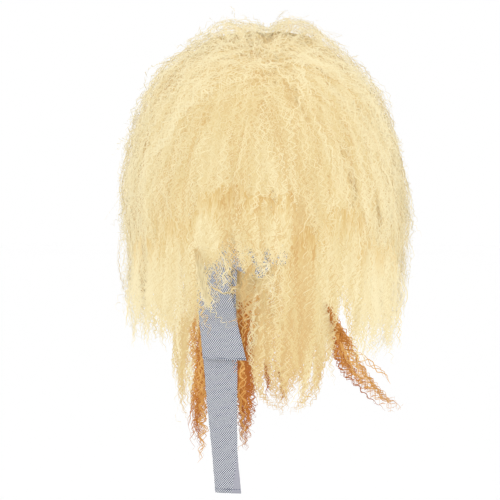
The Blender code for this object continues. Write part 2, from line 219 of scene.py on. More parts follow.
# Here too the deepest locks take the darkest tones and the outermost the palest: painted shade and light by
# depth
NAPE_BATCHES = (
    Batch(0.8, 5, 0.3, 0.80, 1.04, 0, 9, -4.0, 0.0, 2.8, 0.80, 3, 0.3, 1.0, 0.00, 0.15),
    Batch(0.4, 7, 0.4, 0.75, 1.04, 0, 9, 0.0, 3.0, 1.6, 0.85, 4, 0.0, 1.4, 0.15, 0.70),
    Batch(0.2, 5, 0.3, 0.80, 1.03, 0, 9, 2.0, 4.0, 0.8, 0.90, 3, 0.0, 1.7, 0.80, 1.00),
)

# The nape's groups: their hair and how many locks each has
NAPE_PIECES = {
    "nape_hair_left": ("blonde", 22),
    "nape_hair_middle": ("blonde", 18),
    "nape_hair_right": ("blonde", 60),
    "ginger_locks_left": ("ginger", 15),
    "ginger_locks_centre": ("ginger", 16),
    "ginger_lock_right": ("ginger", 9),
}

# Loose curls at places of their own: the hair, the node that they belong to, how many fibres, a
# lock's half width in millimetres, a tone, how large their waves are, and their points across and
# up the back in millimetres
Curl = namedtuple("Curl", "hair node fibres spread tone curl points")
LOOSE_CURLS = (
    Curl("blonde", "crown_hair", 34, 4.5, 0.95, 1.2, ((66, -150), (61, -180), (54, -203), (57, -217))),
    Curl("blonde", "crown_hair", 4, 1.2, 0.90, 1.4, ((52, -186), (38, -194), (26, -190), (16, -184))),
    Curl("blonde", "crown_hair", 5, 1.5, 0.80, 1.5, ((30, -140), (20, -158), (14, -172), (21, -194))),
    Curl("blonde", "crown_hair", 5, 1.6, 0.85, 1.5, ((14, -140), (3, -160), (-3, -174), (-1, -192))),
    Curl("blonde", "crown_hair", 4, 1.2, 0.90, 1.4, ((44, -150), (36, -166), (40, -184), (47, -196))),
    Curl("blonde", "crown_hair", 4, 1.2, 0.85, 1.6, ((36, -135), (26, -148), (10, -163), (4, -180))),
    Curl("blonde", "nape_hair_right", 5, 1.4, 1.00, 1.8, ((12, -195), (8, -230), (13, -270), (3, -306))),
    Curl("blonde", "nape_hair_right", 5, 1.4, 0.95, 1.8, ((0, -190), (-3, -235), (-8, -285))),
    Curl("blonde", "nape_hair_right", 4, 1.2, 1.00, 1.7, ((6, -180), (12, -215), (6, -262))),
    Curl("ginger", "nape_hair_right", 5, 1.6, 0.35, 1.5, ((0, -262), (-4, -285), (-4, -306))),
    Curl("ginger", "nape_hair_right", 4, 1.2, 0.35, 1.4, ((-14, -270), (-18, -290), (-18, -306))),
    Curl("ginger", "ginger_locks_left", 5, 1.6, 0.85, 2.0, ((62, -290), (60, -330), (64, -375))),
    Curl("ginger", "ginger_locks_centre", 5, 1.6, 0.85, 2.0, ((24, -290), (20, -325), (24, -362))),
    Curl("ginger", "ginger_lock_right", 16, 4.5, 0.35, 1.2,
         ((-61, -203), (-68, -222), (-79, -240), (-89, -256))),
    Curl("ginger", "ginger_lock_right", 6, 1.6, 0.55, 1.8,
         ((-66, -218), (-84, -250), (-98, -274), (-114, -294), (-130, -306), (-145, -309))),
    Curl("ginger", "ginger_lock_right", 4, 1.2, 0.65, 1.8,
         ((-66, -218), (-88, -256), (-106, -284), (-122, -306), (-143, -320))),
    Curl("ginger", "ginger_lock_right", 3, 0.7, 0.75, 2.2,
         ((-66, -218), (-91, -256), (-110, -268), (-128, -286), (-151, -290))),
)

# Curtains of loose locks, which hang past the solids' tips and over the bandana: the node that they
# belong to, how many locks and fibres each, a lock's half width in millimetres, their reach across,
# where they start, their highest and lowest end, how large their waves are, and their range of tones
Curtain = namedtuple("Curtain", "node locks fibres spread left right top high low curl dark light")
# Near the knot, under it and at the nape the curtains run to darker tones: painted shade
CURTAINS = {
    "over_tail": Curtain("crown_hair", 36, 6, 3.0, 0.064, 0.044, -0.105, -0.152, -0.182, 1.2, 0.35, 0.95),
    "over_knot": Curtain("crown_hair", 44, 6, 3.0, 0.048, 0.018, -0.100, -0.142, -0.160, 1.2, 0.10, 0.80),
    "beside_knot": Curtain("crown_hair", 62, 6, 3.0, 0.022, -0.026, -0.105, -0.152, -0.178, 1.2, 0.10, 0.85),
    "nape": Curtain("crown_hair", 46, 5, 4.0, -0.026, -0.066, -0.140, -0.220, -0.300, 1.1, 0.15, 0.80),
    "right_gap": Curtain("crown_hair", 44, 6, 4.0, -0.058, -0.092, -0.120, -0.180, -0.238, 1.1, 0.30, 0.90),
    "right": Curtain("crown_hair", 46, 5, 4.0, -0.086, -0.130, -0.150, -0.225, -0.280, 1.1, 0.40, 1.00),
    "left": Curtain("crown_hair", 36, 5, 4.0, 0.130, 0.088, -0.150, -0.215, -0.262, 1.1, 0.40, 1.00),
    "under_knot": Curtain(
        "nape_hair_right", 22, 5, 3.0, 0.026, 0.006, -0.166, -0.195, -0.246, 1.6, 0.05, 0.45
    ),
    "left_gap": Curtain("crown_hair", 30, 5, 4.0, 0.106, 0.070, -0.130, -0.195, -0.250, 1.1, 0.35, 0.95),
}
CURTAIN_SWAY = 0.006
CURTAIN_UNEVEN = 0.012

# How far loose curls and curtains lie off what is beneath them, how far back a gap in that may be
# before they pass over it, and over how many points their lie is smoothed
CURL_LIFT = 0.0040
CURTAIN_LIFT = 0.0035
LARGEST_DROP = 0.035
SMOOTH_OVER = 9

# Stray fibres: how many, how much they go their own way, the share of them that stand off the hair,
# how far they rise, and how much more at the top of the head
FRIZZ_COUNT = 5000
FRIZZ_LOOSE = 0.8
FRIZZ_STANDING = 0.45
FRIZZ_RISE = 0.012
FRIZZ_TOP = 0.72
FRIZZ_SHORTEST = 0.020
FRIZZ_LONGEST_STANDING = 0.040
FRIZZ_LONGEST_LYING = 0.070
FRIZZ_ROOT = 0.004

# The crown's pieces, by the azimuths that they lie between, in degrees
CROWN_FIRST = -100
CROWN_PARTS = {
    "back_right": (-45, 0),
    "back_left": (0, 45),
    "right": (-100, -45),
    "left": (45, 100),
    "front_left": (100, 180),
    "front_right": (180, 260),
}


def linear(code):
    """An sRGB hex colour as linear red, green, blue and alpha."""
    parts = [int(code[place : place + 2], 16) / 255 for place in (1, 3, 5)]
    return (*(p / 12.92 if p <= 0.04045 else ((p + 0.055) / 1.055) ** 2.4 for p in parts), 1.0)


def set_inputs(tree, node, inputs):
    """Gives a node's sockets their values or their links."""
    for socket, value in inputs.items():
        if isinstance(value, bpy.types.NodeSocket):
            tree.links.new(value, node.inputs[socket])
        else:
            node.inputs[socket].default_value = value


def add_node(tree, kind, inputs=None, stops=(), **settings):
    """Adds a node with its settings, a ramp's stops as (place, colour), and its values or links."""
    node = tree.nodes.new(kind)
    for name, value in settings.items():
        setattr(node, name, value)
    for number, (place, colour) in enumerate(stops):
        elements = node.color_ramp.elements
        element = elements[number] if number < len(elements) else elements.new(place)
        element.position = place
        element.color = colour
    set_inputs(tree, node, inputs or {})
    return node


def new_material(name):
    """A new material, its node tree and its Principled shader."""
    material = bpy.data.materials.new(name)
    material.use_nodes = True
    return material, material.node_tree, material.node_tree.nodes["Principled BSDF"]


def settings():
    return bpy.context.scene.wig_settings


def crimped_fibre(name, shade, middle, light):
    """Modacrylic wig fibre, drawn smooth and steam-crimped: a soft satin gloss along each wave. The colour
    comes from a card: across it a tone, partly the lock's own so that locks differ and partly painted light
    and shade, and up it painted shade that darkens the fibre towards its root."""
    material, tree, shader = new_material(name)
    card = add_node(tree, "ShaderNodeUVMap", uv_map=CARD)
    axes = add_node(tree, "ShaderNodeSeparateXYZ", {"Vector": card.outputs["UV"]})
    tones = ((0.0, shade), (0.45, middle), (1.0, light))
    tone = add_node(tree, "ShaderNodeValToRGB", {"Fac": axes.outputs["X"]}, tones)
    # Painted shade at the roots, which lie deep in the hair: the colour darkens over the first 30 percent of
    # the card's length
    root_shade_stops = ((0.0, linear("#F0DFC0")), (0.3, linear("#FFFFFF")))
    length = add_node(tree, "ShaderNodeValToRGB", {"Fac": axes.outputs["Y"]}, root_shade_stops)
    # A mix node's colours are its inputs 6 and 7 and its output 2
    both = {0: 1.0, 6: tone.outputs["Color"], 7: length.outputs["Color"]}
    mixed = add_node(tree, "ShaderNodeMix", both, data_type="RGBA", blend_type="MULTIPLY")
    gloss = {"Roughness": 0.6, "IOR": 1.5, "Specular IOR Level": 0.25}
    set_inputs(tree, shader, {"Base Color": mixed.outputs[2], **gloss})
    return material


def place_on_profile(azimuth, row):
    """The point inside the head and the direction that belong to a row, at an azimuth."""
    level = Vector((math.sin(azimuth), math.cos(azimuth), 0.0))
    if row <= DOME_ROWS:
        tilt = math.pi / 2 * row / DOME_ROWS
        direction = level * math.sin(tilt) + Vector((0, 0, math.cos(tilt)))
        return Vector((0, 0, -DOME_DEPTH)), direction
    return Vector((0, 0, -DOME_DEPTH - (row - DOME_ROWS) * ROW_STEP)), level


def node_surface(name):
    mesh = nodes[name].data
    return BVHTree.FromPolygons([v.co for v in mesh.vertices], [p.vertices for p in mesh.polygons])


def first_hits(surface, azimuth, row):
    """Where a row's ray meets a hair solid from outside and from inside the head."""
    centre, direction = place_on_profile(azimuth, row)
    outer = surface.ray_cast(centre + direction * REACH, -direction, REACH)[0]
    inner = surface.ray_cast(centre, direction, REACH)[0]
    return outer, inner


def fill_gaps(grid):
    """Carries each column's last point down past the tips, and its first one up to the root."""
    columns, rows = grid.shape[:2]
    for column in range(columns):
        good = np.flatnonzero(~np.isnan(grid[column, :, 0]))
        for axis in range(2):
            grid[column, :, axis] = np.interp(range(rows), good, grid[column, good, axis])
        depths = grid[column, :, 2]
        for row in range(good[-1] + 1, rows):
            depths[row] = depths[row - 1] - ROW_STEP
        for row in range(good[0] - 1, -1, -1):
            depths[row] = depths[row + 1] + ROW_STEP
        inside = np.flatnonzero(np.isnan(depths))
        depths[inside] = np.interp(inside, np.flatnonzero(~np.isnan(depths)), depths[~np.isnan(depths)])
    return grid


def read_crown():
    """The outer hair's outside and inside, all the way round."""
    surface = node_surface("crown_hair")
    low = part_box("crown_hair")[0].z
    rows = DOME_ROWS + math.ceil((-low - DOME_DEPTH) / ROW_STEP) + 1
    outer = np.full((CROWN_COLUMNS, rows, 3), np.nan)
    inner = np.full((CROWN_COLUMNS, rows, 3), np.nan)
    last = np.zeros(CROWN_COLUMNS)
    for column in range(CROWN_COLUMNS):
        azimuth = 2 * math.pi * column / CROWN_COLUMNS
        for row in range(rows):
            far, near = first_hits(surface, azimuth, row)
            if far and near:
                outer[column, row], inner[column, row] = far, near
                last[column] = row
    round_about = np.stack([np.roll(last, step) for step in range(-TIP_BLEND, TIP_BLEND + 1)])
    last = 0.6 * round_about.max(axis=0) + 0.4 * round_about.mean(axis=0)
    return Form(fill_gaps(outer), fill_gaps(inner), last, round_about.min(axis=0), True)


def read_group(name):
    """A group of nape locks, between its two edges at each row."""
    surface = node_surface(name)
    low, high = (corner.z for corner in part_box(name))
    first = DOME_ROWS + (-high - DOME_DEPTH) / ROW_STEP
    rows = max(round((high - low) / ROW_STEP), LEAST_ROWS)
    outer = np.full((GROUP_COLUMNS, rows, 3), np.nan)
    inner = np.full((GROUP_COLUMNS, rows, 3), np.nan)
    last = np.zeros(GROUP_COLUMNS)
    turn = np.radians(np.arange(-90, 90, 1.0))
    for row in range(rows):
        place = first + 0.3 + (row + 0.2) * (high - low) / ROW_STEP / rows
        met = [a for a in turn if first_hits(surface, a, place)[0]]
        if not met:
            continue
        for column in range(GROUP_COLUMNS):
            azimuth = met[0] + (met[-1] - met[0]) * column / (GROUP_COLUMNS - 1)
            far, near = first_hits(surface, azimuth, place)
            if far and near:
                outer[column, row], inner[column, row] = far, near
                last[column] = row
    return Form(fill_gaps(outer), fill_gaps(inner), last, last, False)


def sample(form, grid, across, row):
    """A grid of the form, read between its points."""
    columns, rows = grid.shape[:2]
    row = np.clip(row, 0, rows - 1.001)
    if form.around:
        column = np.mod(across * columns, columns)
    else:
        column = np.clip(across, 0, 0.9999) * (columns - 1)
    left, top = column.astype(int), row.astype(int)
    right = (left + 1) % columns
    side, down = column - left, row - top
    if grid.ndim == 3:
        side, down = side[..., None], down[..., None]
    upper = grid[left, top] * (1 - side) + grid[right, top] * side
    lower = grid[left, top + 1] * (1 - side) + grid[right, top + 1] * side
    return upper * (1 - down) + lower * down


def unit(vectors):
    return vectors / np.maximum(np.linalg.norm(vectors, axis=-1, keepdims=True), 1e-9)


def sideways(line, normal):
    """The way to a line's side at each point, level with the hair's outside."""
    return unit(np.cross(unit(np.gradient(line, axis=0)), normal))


def along_line(line):
    """How far along a line each of its points lies."""
    return np.concatenate(([0.0], np.cumsum(np.linalg.norm(np.diff(line, axis=0), axis=1))))


def between(places, along, values):
    """Points read between the given ones, at places along them."""
    return np.stack([np.interp(places, along, column) for column in values.T], axis=1)


def spacing(grid, axis):
    """The distance from each of a grid's points to the next, along its rows or its columns."""
    return np.linalg.norm(np.diff(grid, axis=axis), axis=2)


def add_piece(name, mesh, materials):
    """Adds a finished mesh as a piece that moves with the wig."""
    for material in materials:
        mesh.materials.append(material)
    made = bpy.data.objects.new(name, mesh)
    bpy.context.scene.collection.objects.link(made)
    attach(made, BODY)
    return made


def hit_from_behind(surface, x, z):
    """Where a level ray from behind the head meets a surface."""
    return surface.ray_cast(Vector((x, REACH, z)), Vector((0, -1, 0)))[0]


def last_row(form, across):
    columns = len(form.last)
    places = across * columns if form.around else across * (columns - 1)
    return form.last[np.mod(np.round(places).astype(int), columns)]


def comb(roots, rng, loose):
    """Follows the lie of the crown's hair from each root: its turn and row at every step. Loose hair
    also goes its own way, most of all at the top of the head."""
    whorls = unit(WHORL + rng.normal(0, WHORL_STRAY, (len(roots), 3)))
    own_way = rng.normal(0, loose, (len(roots), 3))
    place = roots.copy()
    turns = np.empty((len(roots), LIE_STEPS))
    rows = np.empty((len(roots), LIE_STEPS))
    turn = np.arctan2(place[:, 0], place[:, 1]) / (2 * math.pi)
    row = np.arccos(place[:, 2]) / (math.pi / 2) * DOME_ROWS
    drift = np.zeros(len(roots))
    below = row >= DOME_ROWS
    for step in range(LIE_STEPS):
        turns[:, step], rows[:, step] = turn, row
        near = (place * whorls).sum(axis=1)
        away = unit(place * near[:, None] - whorls)
        gone = np.arccos(np.clip(near, -1, 1)) * DOME_RADIUS
        down = place * place[:, 2:3] - np.array([0, 0, 1])
        astray = own_way - place * (own_way * place).sum(axis=1, keepdims=True)
        heading = unit(away * np.exp(-gone / WHORL_REACH)[:, None] + down + astray)
        place = unit(place + heading * (LIE_STEP / DOME_RADIUS))
        found = np.arctan2(place[:, 0], place[:, 1]) / (2 * math.pi)
        drift = np.where(below, drift * 0.93, np.mod(found - turn + 0.5, 1) - 0.5)
        turn = np.where(below, turn + drift, found)
        tilt = np.arccos(np.clip(place[:, 2], -1, 1)) / (math.pi / 2) * DOME_ROWS
        row = np.where(below, row + LIE_STEP / ROW_STEP, tilt)
        below = below | (row >= DOME_ROWS)
    return turns, rows


def on_dome(height, azimuth):
    """Points on a dome of radius one."""
    level = np.sqrt(1 - height**2)
    return np.stack((level * np.sin(azimuth), level * np.cos(azimuth), height), axis=1)


def outside_at(form, across, rows):
    """A form's outside and the way out of it, at places across it and rows down."""
    outer = sample(form, form.outer, across, rows)
    return outer, unit(outer - sample(form, form.inner, across, rows))


def crown_paths(batch, rng):
    """Where the crown's locks root, and their places along the solid."""
    low = math.cos(math.pi / 2 * batch.root)
    height = rng.uniform(low, 1.0, batch.locks)
    roots = on_dome(height, rng.uniform(0, 2 * math.pi, batch.locks))
    near = rng.random(batch.locks) < WHORL_SHARE
    roots[near] = unit(WHORL + rng.normal(0, WHORL_SPREAD, (near.sum(), 3)))
    return comb(roots, rng, batch.loose)


def group_paths(form, batch, rng):
    """Where a group of nape locks root, and their places as they hang straight between its edges."""
    slots = (rng.permutation(batch.locks) + rng.random(batch.locks)) / batch.locks
    across = np.clip(slots, 0.02, 0.98)
    root = rng.uniform(-0.5, batch.root, batch.locks) * last_row(form, across)
    root = np.where(root < 0, -NAPE_RISE_ROWS * rng.random(batch.locks), root)
    rows = root[:, None] + np.arange(LIE_STEPS) * (LIE_STEP / ROW_STEP)
    return np.repeat(across[:, None], LIE_STEPS, axis=1), rows


def make_guides(form, batch, rng):
    """The middle lines of a batch of locks, with the way out of the hair at each point."""
    turns, rows = crown_paths(batch, rng) if form.around else group_paths(form, batch, rng)
    ends = last_row(form, np.mod(turns, 1.0) if form.around else turns)
    outer, out = outside_at(form, turns, rows)
    outer[..., 2] += np.maximum(-rows, 0) * ROW_STEP
    guides = []
    for number in range(batch.locks):
        reach = rng.uniform(batch.end_low, batch.end_high)
        gone = np.flatnonzero(rows[number] >= reach * ends[number])
        steps = gone[0] if len(gone) else LIE_STEPS - 1
        if form.around:
            steps = min(steps, int(rng.uniform(batch.short, batch.long) / LIE_STEP))
        if steps < LEAST_STEPS:
            continue
        down, whole = np.linspace(0, steps, GUIDE_POINTS), np.arange(steps + 1)
        line, normal = (between(down, whole, grid[number, : steps + 1]) for grid in (outer, out))
        guides.append((line, unit(normal), steps * LIE_STEP))
    return guides


def waver(length, rng, scale):
    """A slow wandering to a side along a lock, in metres."""
    down = np.linspace(0, 1, GUIDE_POINTS) * length
    total = np.zeros(GUIDE_POINTS)
    for period in (0.22, 0.11, 0.055):
        total += period / 0.22 * math.sqrt(2) * rng.normal() * np.sin(
            2 * np.pi * (down / (period * rng.uniform(0.8, 1.25)) + rng.random())
        )
    return total * scale * np.clip(down / 0.10, 0.1, 1.0)


def tufts(points):
    """The two frizzy tufts at the top of the head and the notch between them, as a rise."""
    near_top = np.exp(-(((points[..., 2] - TUFT_HEIGHT) / TUFT_REACH) ** 2))
    rises = (rise * np.exp(-(((points[..., 0] - place) / wide) ** 2)) for rise, place, wide in TUFTS)
    return near_top * sum(rises)


def crimp(points, out, rng, style):
    """One fibre: a line resampled along its length and thrown into waves."""
    along = along_line(points)
    wave = style["wave"] * rng.uniform(0.92, 1.08)
    count = max(int(along[-1] / wave * POINTS_PER_WAVE), 5)
    place = np.arange(count) * wave / POINTS_PER_WAVE
    line = between(place, along, points)
    normal = unit(between(place, along, out))
    side = sideways(line, normal)
    phase = 2 * np.pi * np.arange(count) / POINTS_PER_WAVE + style["phase"]
    phase = phase + WAVE_DRIFT * np.sin(place / WAVE_DRIFT_LENGTH + style["drift"])
    grown = np.clip(place / WAVE_FULL_AFTER, 0.25, 1.0)
    swell = WAVE_SWELL * np.sin(place / WAVE_SWELL_LENGTH + 2 * style["drift"])
    height = style["height"] * grown * (1 + swell)
    line = line + side * (height * np.sin(phase))[:, None]
    line = line + normal * (style["depth"] * height * np.cos(phase + style["roll"]))[:, None]
    return line, normal


def ribbon(line, normal, width, twist):
    """A fibre bundle's two edges: flat to the hair's outside, turned a little along its length."""
    forward = unit(np.gradient(line, axis=0))
    side = unit(np.cross(forward, normal))
    up = np.cross(side, forward)
    angle = twist[0] + twist[1] * np.sin(np.arange(len(line)) * 0.13 + twist[2])
    across = side * np.cos(angle)[:, None] + up * np.sin(angle)[:, None]
    share = np.linspace(0, 1, len(line))
    taper = np.minimum(1.0, 0.35 + 8 * share) * np.clip((1.02 - share) * 7, 0.15, 1.0)
    half = across * (0.5 * width * taper)[:, None]
    return line - half, line + half, unit(np.cross(across, forward))


def tone_at(place):
    """How much paler a place is than the rest: painted light at the top and the sides, where the hair is
    thin, painted shade round the whorl and at the nape, where it lies deep, and a little uneven tone all
    over."""
    top = TOP_PAINTED_LIGHT * min(max((place[2] + 0.010) / 0.050, 0.0), 1.0)
    sides = SIDES_PAINTED_LIGHT * min(max((abs(place[0]) - 0.080) / 0.045, 0.0), 1.0)
    across, up = (place[0] - 0.012) / 0.045, (place[2] + 0.030) / 0.045
    whorl = WHORL_PAINTED_SHADE * math.exp(-(across**2) - up**2)
    patches = PATCHES * math.sin(105 * place[0] + 2 * math.sin(38 * place[2])) * math.sin(47 * place[2] + 1.3)
    below = min(max((-0.185 - place[2]) / 0.040, 0.0), 1.0)
    nape = NAPE_PAINTED_SHADE * below * math.exp(-(((place[0] + 0.008) / 0.036) ** 2))
    return top + sides - (whorl + nape if place[1] > 0 else 0.0) + patches


def lock_fibres(line, normal, batch, tone, hair, rng):
    """The fibres of one lock about its middle line."""
    made = []
    down = np.linspace(0, 1, len(line))
    gathered = (0.45 + 0.55 * np.sin(np.pi * (0.1 + 0.7 * down)))[:, None]
    side = sideways(line, normal)
    style = {
        "wave": hair.crimp_length * batch.curl * rng.uniform(0.85, 1.25),
        "height": hair.crimp_height * batch.curl * rng.uniform(0.6, 1.2),
        "phase": rng.uniform(0, 2 * np.pi),
        "drift": rng.uniform(0, 2 * np.pi),
        "roll": rng.uniform(-0.8, 0.8),
        "depth": 0.3,
    }
    for _ in range(batch.fibres):
        angle, radius = rng.uniform(0, 2 * np.pi), batch.spread * MILLIMETRE * rng.random() ** 0.5
        offset = side * (radius * math.cos(angle)) + normal * (0.6 * radius * math.sin(angle))
        stop = max(int(len(line) * rng.uniform(0.70, 1.0)), 8)
        own = {**style, "phase": style["phase"] + rng.normal(0, 0.3 + 1.2 * batch.loose)}
        own["height"] = style["height"] * rng.uniform(0.6, 1.3)
        fibre, outward = crimp((line + offset * gathered)[:stop], normal[:stop], rng, own)
        twist = (rng.normal(0, 0.3), rng.uniform(0.1, 0.5), rng.uniform(0, 6.3))
        width = hair.ribbon_width * batch.width * rng.uniform(0.7, 1.2)
        low, high, facing = ribbon(fibre, outward, width, twist)
        middle = fibre[len(fibre) * 2 // 3]
        turn = math.degrees(math.atan2(middle[0], middle[1]))
        # The lock's own tone plus painted light and shade from tone_at, and a little random tone
        card = float(np.clip(tone + tone_at(middle) + rng.normal(0, 0.08), 0.03, 0.97))
        made.append(Fibre(low, high, unit(outward * 0.75 + facing * 0.25), card, turn))
    return made


def lay_fibres(form, batch, rng, hair):
    """All the fibres of a batch of locks."""
    made = []
    down = np.linspace(0, 1, GUIDE_POINTS)
    for line, normal, length in make_guides(form, batch, rng):
        side = sideways(line, normal)
        root_depth = CROWN_ROOT_DEPTH if form.around else NAPE_ROOT_DEPTH
        sunk = -root_depth * np.exp(-down * length / rng.uniform(0.003, 0.012))
        lift = rng.uniform(batch.lift_low, batch.lift_high) * MILLIMETRE + sunk
        line = line + normal * (lift + 0.3 * waver(length, rng, batch.stray * MILLIMETRE))[:, None]
        line = line + side * waver(length, rng, batch.stray * MILLIMETRE)[:, None]
        line[:, 2] += tufts(line)
        made += lock_fibres(line, normal, batch, rng.uniform(batch.dark, batch.light), hair, rng)
    return made


def lay_curl(curl, surfaces, lift, rng, hair):
    """A loose curl, which lies on whatever is outermost along its way."""
    places = np.array(curl.points)
    share = np.linspace(0, len(places) - 1, GUIDE_POINTS)
    across, height = between(share, range(len(places)), places).T
    soft = np.ones(SMOOTH_OVER) / SMOOTH_OVER
    found = []
    for x, z in zip(across, height):
        hits = [hit_from_behind(surface, x, z) for surface in surfaces]
        found.append(max([hit.y for hit in hits if hit], default=-REACH))
    found = np.array(found)
    good = np.flatnonzero(found > found.max() - LARGEST_DROP)
    if found.max() == -REACH:
        raise RuntimeError(f"a loose curl of {curl.node} lies on nothing")
    found = np.interp(range(GUIDE_POINTS), good, found[good])
    found = np.convolve(np.pad(found, SMOOTH_OVER // 2, mode="edge"), soft, mode="valid")
    line = np.stack((across, found + lift, height), axis=1)
    normal = unit(np.stack((across, np.full(GUIDE_POINTS, 0.12), np.zeros(GUIDE_POINTS)), axis=1))
    batch = CROWN_CURLS._replace(fibres=curl.fibres, spread=curl.spread, curl=curl.curl)
    return lock_fibres(line, normal, batch, curl.tone, hair, rng)


def lay_curtain(curtain, surfaces, rng, hair):
    """A curtain's locks, each of which hangs nearly straight down."""
    made = []
    for _ in range(curtain.locks):
        x, low = rng.uniform(curtain.right, curtain.left), rng.uniform(curtain.low, curtain.high)
        top = curtain.top + rng.uniform(-CURTAIN_UNEVEN, CURTAIN_UNEVEN)
        middle, end = (x + rng.normal(0, CURTAIN_SWAY) for _ in range(2))
        points = ((x, top), (middle, (top + low) / 2), (end, low))
        tone = rng.uniform(curtain.dark, curtain.light)
        lock = Curl("blonde", curtain.node, curtain.fibres, curtain.spread, tone, curtain.curl, points)
        made += lay_curl(lock, surfaces, CURTAIN_LIFT, rng, hair)
    return made


def lay_frizz(form, rng, hair):
    """Stray fibres that stand off the crown's hair, each curling its own way."""
    made = []
    height = rng.uniform(-0.1, 1.0, FRIZZ_COUNT)
    roots = on_dome(height, rng.uniform(0, 2 * math.pi, FRIZZ_COUNT))
    turns, rows = comb(roots, rng, FRIZZ_LOOSE)
    ends = last_row(form, np.mod(turns, 1.0))
    outer, out = outside_at(form, turns, rows)
    for number in range(FRIZZ_COUNT):
        standing = rng.random() < FRIZZ_STANDING
        longest = FRIZZ_LONGEST_STANDING if standing else FRIZZ_LONGEST_LYING
        steps = int(rng.uniform(FRIZZ_SHORTEST, longest) / LIE_STEP)
        last = np.flatnonzero(rows[number] < ends[number] * 0.97)
        if len(last) <= steps + 1:
            continue
        first = rng.integers(0, len(last) - steps)
        line, normal = (grid[number, first : first + steps + 1] for grid in (outer, out))
        down = np.linspace(0, 1, steps + 1)
        side = sideways(line, normal)
        stray = rng.normal(0, 0.45) * down**1.3 * steps * LIE_STEP
        if standing:
            rise = rng.uniform(0.004, FRIZZ_RISE) * (1 + FRIZZ_TOP * max(line[0, 2], 0) / 0.07)
            arch = -FRIZZ_ROOT + rise * down**0.8
        else:
            rise = rng.uniform(0.001, FRIZZ_RISE) * rng.random()
            arch = -FRIZZ_ROOT + rise * np.sin(np.pi * (0.15 + 0.75 * down)) + 0.003 * rng.random() * down
        line = line + side * stray[:, None] + normal * arch[:, None]
        line[:, 2] += tufts(line)
        style = {
            "wave": hair.crimp_length * rng.uniform(0.8, 1.7),
            "height": hair.crimp_height * rng.uniform(0.5, 1.4),
            "phase": rng.uniform(0, 2 * np.pi),
            "drift": rng.uniform(0, 2 * np.pi),
            "roll": rng.uniform(-3, 3),
            "depth": rng.uniform(0.2, 1.0),
        }
        fibre, outward = crimp(line, normal, rng, style)
        width = hair.frizz_width * rng.uniform(0.7, 1.3)
        low, high, facing = ribbon(fibre, outward, width, (rng.normal(0, 0.4), 0.3, 0))
        turn = math.degrees(math.atan2(fibre[-1][0], fibre[-1][1]))
        # A random tone plus painted light and shade from tone_at
        tone = min(rng.uniform(0.45, 0.97) + tone_at(fibre[0]), 0.97)
        made.append(Fibre(low, high, unit(outward * 0.8 + facing * 0.2), tone, turn))
    return made


def ribbon_mesh(name, fibres, material):
    """One mesh of many ribbons, with the colour card's map on them. Its normals are those of the
    hair as a whole, because light goes through and around single fibres."""
    counts = np.array([len(fibre.left) for fibre in fibres])
    points = np.concatenate([np.stack((fibre.left, fibre.right), axis=1).reshape(-1, 3) for fibre in fibres])
    facing = np.concatenate([np.repeat(fibre.facing, 2, axis=0) for fibre in fibres])
    starts = np.concatenate(([0], np.cumsum(counts)[:-1])) * 2
    quads, cards = [], []
    for start, count, fibre in zip(starts, counts, fibres):
        first = start + 2 * np.arange(count - 1)
        quads.append(np.stack((first, first + 1, first + 3, first + 2), axis=1))
        up = np.arange(count) / (count - 1) * CARD_USED + CARD_MARGIN
        low = np.full(count - 1, fibre.tone - CARD_STRIPE)
        high = low + 2 * CARD_STRIPE
        corners = ((low, up[:-1]), (high, up[:-1]), (high, up[1:]), (low, up[1:]))
        cards.append(np.stack([np.stack(corner, axis=1) for corner in corners], axis=1))
    quads, cards = np.concatenate(quads), np.concatenate(cards)
    mesh = bpy.data.meshes.new(name)
    mesh.vertices.add(len(points))
    mesh.vertices.foreach_set("co", points.ravel())
    mesh.loops.add(quads.size)
    mesh.loops.foreach_set("vertex_index", quads.ravel())
    mesh.polygons.add(len(quads))
    mesh.polygons.foreach_set("loop_start", np.arange(0, quads.size, 4))
    mesh.update(calc_edges=True)
    for map_name in (CARD, BAKE_MAP):
        layer = mesh.uv_layers.new(name=map_name)
        layer.data.foreach_set("uv", cards.ravel())
    mesh.shade_smooth()
    mesh.normals_split_custom_set_from_vertices(facing)
    made = add_piece(name, mesh, [material])
    made.visible_shadow = False
    made.visible_diffuse = False
    return made


def hair_material(kind):
    """The blonde or ginger fibre, made once."""
    hair = settings()
    name = f"crimped_modacrylic_{kind}"
    if name in bpy.data.materials:
        return bpy.data.materials[name]
    if kind == "blonde":
        return crimped_fibre(name, hair.blonde_shade, hair.blonde, hair.blonde_light)
    return crimped_fibre(name, hair.ginger_shade, hair.ginger, hair.ginger_light)


